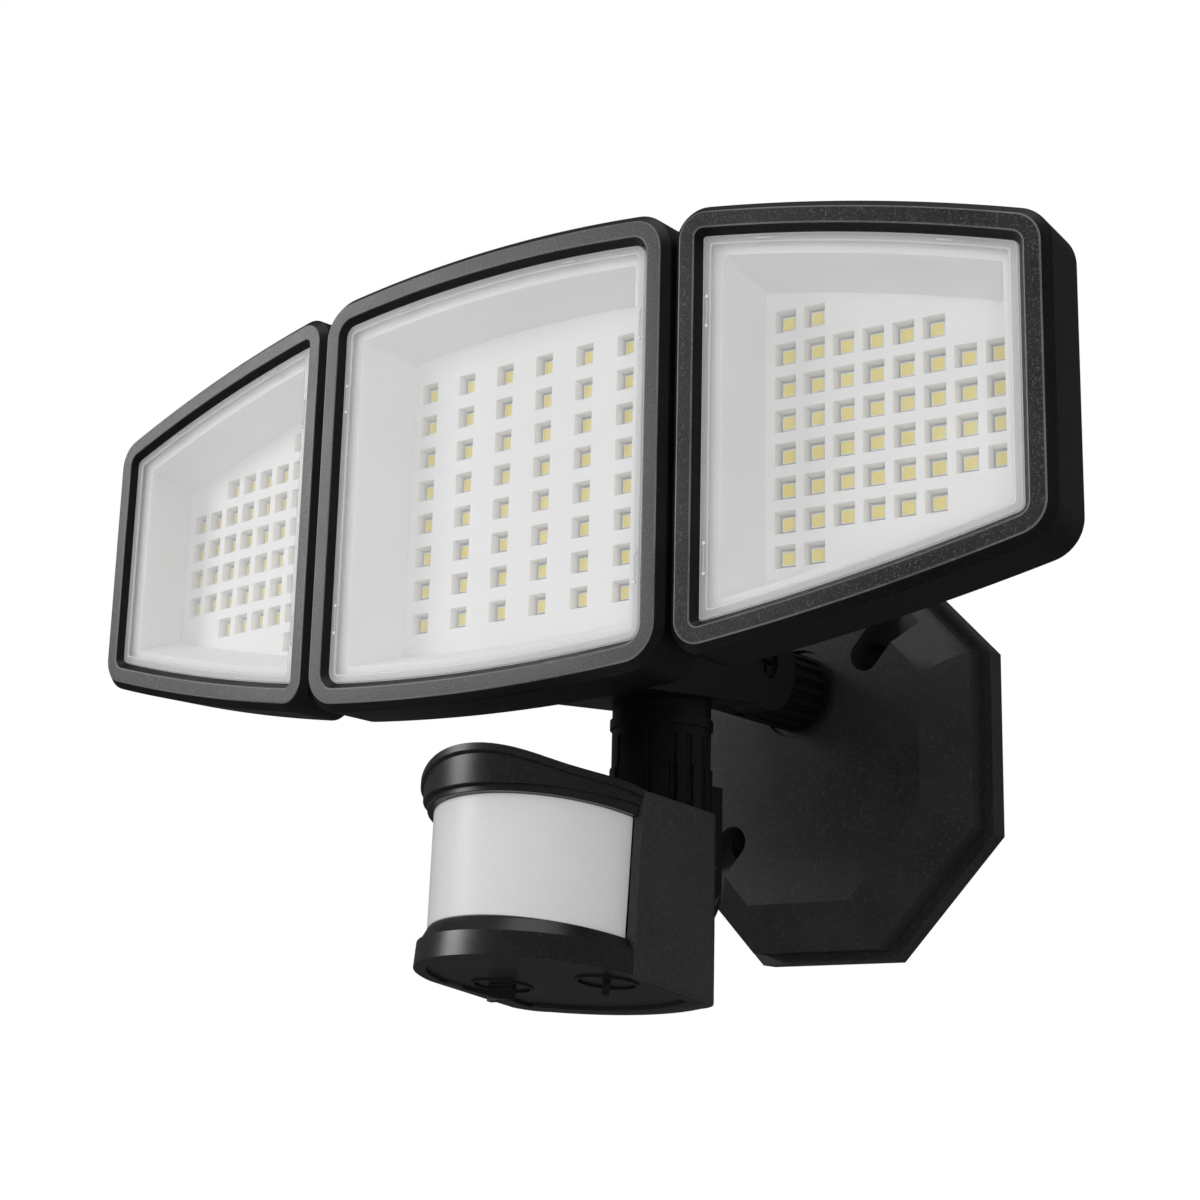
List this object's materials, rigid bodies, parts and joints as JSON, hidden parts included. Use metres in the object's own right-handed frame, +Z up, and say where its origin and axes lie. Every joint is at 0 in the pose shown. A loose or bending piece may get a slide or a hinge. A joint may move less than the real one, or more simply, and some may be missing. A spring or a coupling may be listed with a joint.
{
  "type": "motion sensor security light",
  "caption": "Wall-mounted flood light with a centre head, hinged wing heads and a motion sensor on a post under the housing.",
  "frame": {"origin": "centre of the wall plate's back, midway between the two fixing screws, on the wall", "axes": "+Z up, +Y into the wall, the lamp heads face -Y"},
  "size_m": [0.3036, 0.1714, 0.1901],
  "materials": {
    "black_plastic": "satin moulded black",
    "clear_cover": "clear",
    "white_plastic": "matt white",
    "led": "yellow phosphor",
    "circuit_board": "white solder mask",
    "heat_plate": "plain",
    "steel": "plated",
    "foam": "closed-cell foam",
    "milky_lens": "milky translucent",
    "detector_can": "plain"
  },
  "bodies": {
    "wall": {"mounting_plate": "black_plastic", "wall_gasket": "foam"},
    "base_knuckle": {"base_knuckle": "black_plastic", "knuckle_washer": "black_plastic", "knuckle_nut": "black_plastic"},
    "lamp": {"driver_housing": "black_plastic", "tilt_bolt": "steel", "tilt_nut": "steel", "driver_board": "circuit_board", "centre_frame": "black_plastic", "centre_shell": "black_plastic", "centre_cover": "clear_cover", "centre_tray": "white_plastic", "centre_led_board": "circuit_board", "centre_leds": "led", "centre_heat_plate": "heat_plate", "centre_screw_1": "steel", "centre_screw_2": "steel", "centre_screw_3": "steel", "centre_screw_4": "steel", "left_hinge_pin": "steel", "right_hinge_pin": "steel"},
    "left_wing": {"left_frame": "black_plastic", "left_shell": "black_plastic", "left_cover": "clear_cover", "left_tray": "white_plastic", "left_led_board": "circuit_board", "left_leds": "led", "left_heat_plate": "heat_plate", "left_screw_1": "steel", "left_screw_2": "steel", "left_screw_3": "steel", "left_screw_4": "steel"},
    "right_wing": {"right_frame": "black_plastic", "right_shell": "black_plastic", "right_cover": "clear_cover", "right_tray": "white_plastic", "right_led_board": "circuit_board", "right_leds": "led", "right_heat_plate": "heat_plate", "right_screw_1": "steel", "right_screw_2": "steel", "right_screw_3": "steel", "right_screw_4": "steel"},
    "post": {"sensor_post": "black_plastic", "post_ring": "black_plastic"},
    "sensor": {"sensor_housing": "black_plastic", "sensor_cap": "black_plastic", "sensor_base": "black_plastic", "sensor_lens": "milky_lens", "detector_board": "circuit_board", "detector": "detector_can", "sensor_bolt": "steel", "sensor_nut": "steel"},
    "left_knob": {"left_knob": "black_plastic"},
    "right_knob": {"right_knob": "black_plastic"}
  },
  "joints": [
    {"name": "base_swivel", "type": "hinge", "parent": "wall", "child": "base_knuckle", "pos_m": [0, -0.0231, 0.0169], "axis": [0, 1, 0], "range_deg": [-90, 90]},
    {"name": "lamp_tilt", "type": "hinge", "parent": "base_knuckle", "child": "lamp", "pos_m": [0, -0.0661, 0.0168], "axis": [1, 0, 0], "range_deg": [-35, 35]},
    {"name": "left_wing_hinge", "type": "hinge", "parent": "lamp", "child": "left_wing", "pos_m": [-0.058, -0.14783, 0.0479], "axis": [0, 0, -1], "range_deg": [0, 40]},
    {"name": "right_wing_hinge", "type": "hinge", "parent": "lamp", "child": "right_wing", "pos_m": [0.058, -0.14783, 0.0479], "axis": [0, 0, 1], "range_deg": [0, 40]},
    {"name": "sensor_swivel", "type": "hinge", "parent": "lamp", "child": "post", "pos_m": [0, -0.0915, -0.0029], "axis": [0, 0, 1], "range_deg": [-90, 90]},
    {"name": "sensor_tilt", "type": "hinge", "parent": "post", "child": "sensor", "pos_m": [0, -0.0869, -0.0472], "axis": [1, 0, 0], "range_deg": [-5, 35]},
    {"name": "left_knob_turn", "type": "hinge", "parent": "sensor", "child": "left_knob", "pos_m": [-0.0167, -0.1352, -0.07724], "axis": [0, 0.1368, 0.9906], "range_deg": [-135, 135]},
    {"name": "right_knob_turn", "type": "hinge", "parent": "sensor", "child": "right_knob", "pos_m": [0.0167, -0.1352, -0.07724], "axis": [0, 0.1368, 0.9906], "range_deg": [-135, 135]}
  ]
}
